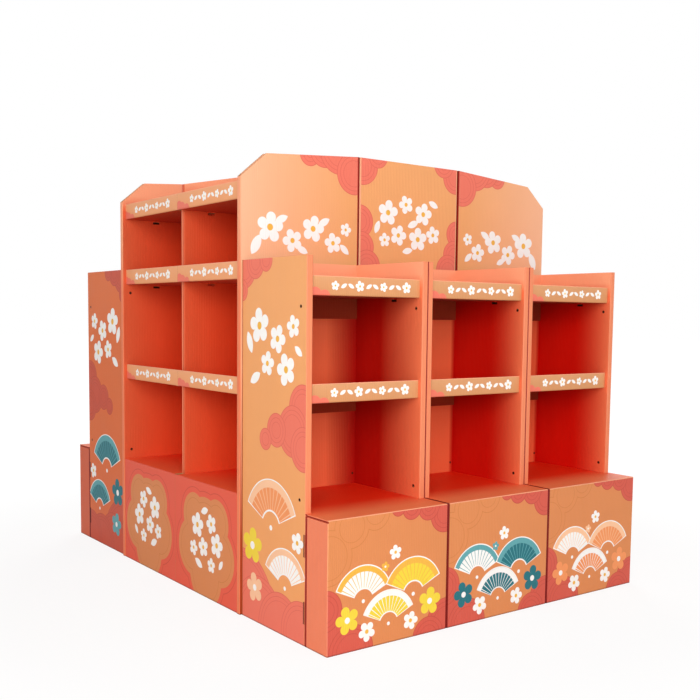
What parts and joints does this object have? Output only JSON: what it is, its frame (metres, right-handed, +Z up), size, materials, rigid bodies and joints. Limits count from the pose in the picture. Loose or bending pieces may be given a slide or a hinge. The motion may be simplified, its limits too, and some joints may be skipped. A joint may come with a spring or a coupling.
{
  "type": "cardboard island display stand",
  "caption": "Cardboard island display stand with open shelf cabinets on every side, projecting base boxes along its long sides and taller end units.",
  "frame": {"origin": "on the floor, under the middle of the stand", "axes": "+Z up; the front row of cabinets faces -Y and the left end unit faces -X"},
  "size_m": [1.4552, 1.996, 1.586],
  "materials": {
    "wall_board": "printed, satin",
    "inner_board": "printed, satin",
    "shelf_board": "printed, satin",
    "base_board": "printed, satin",
    "centre_board": "printed, satin"
  },
  "bodies": {
    "root": {"back_centre_panel": "centre_board", "back_left_base_box": "base_board", "back_left_lower_tray": "shelf_board", "back_left_shell": "wall_board", "back_left_upper_tray": "shelf_board", "back_middle_base_box": "base_board", "back_middle_lower_tray": "shelf_board", "back_middle_shell": "wall_board", "back_middle_upper_tray": "shelf_board", "back_right_base_box": "base_board", "back_right_lower_tray": "shelf_board", "back_right_shell": "wall_board", "back_right_upper_tray": "shelf_board", "front_centre_panel": "centre_board", "front_left_base_box": "base_board", "front_left_lower_tray": "shelf_board", "front_left_shell": "wall_board", "front_left_upper_tray": "shelf_board", "front_middle_base_box": "base_board", "front_middle_lower_tray": "shelf_board", "front_middle_shell": "wall_board", "front_middle_upper_tray": "shelf_board", "front_right_base_box": "base_board", "front_right_lower_tray": "shelf_board", "front_right_shell": "wall_board", "front_right_upper_tray": "shelf_board", "left_end_back_base_box": "base_board", "left_end_back_lower_tray": "shelf_board", "left_end_back_middle_tray": "shelf_board", "left_end_back_upper_tray": "shelf_board", "left_end_divider": "inner_board", "left_end_front_base_box": "base_board", "left_end_front_lower_tray": "shelf_board", "left_end_front_middle_tray": "shelf_board", "left_end_front_upper_tray": "shelf_board", "left_end_shell": "wall_board", "right_end_back_base_box": "base_board", "right_end_back_lower_tray": "shelf_board", "right_end_back_middle_tray": "shelf_board", "right_end_back_upper_tray": "shelf_board", "right_end_divider": "inner_board", "right_end_front_base_box": "base_board", "right_end_front_lower_tray": "shelf_board", "right_end_front_middle_tray": "shelf_board", "right_end_front_upper_tray": "shelf_board", "right_end_shell": "wall_board"}
  },
  "joints": []
}
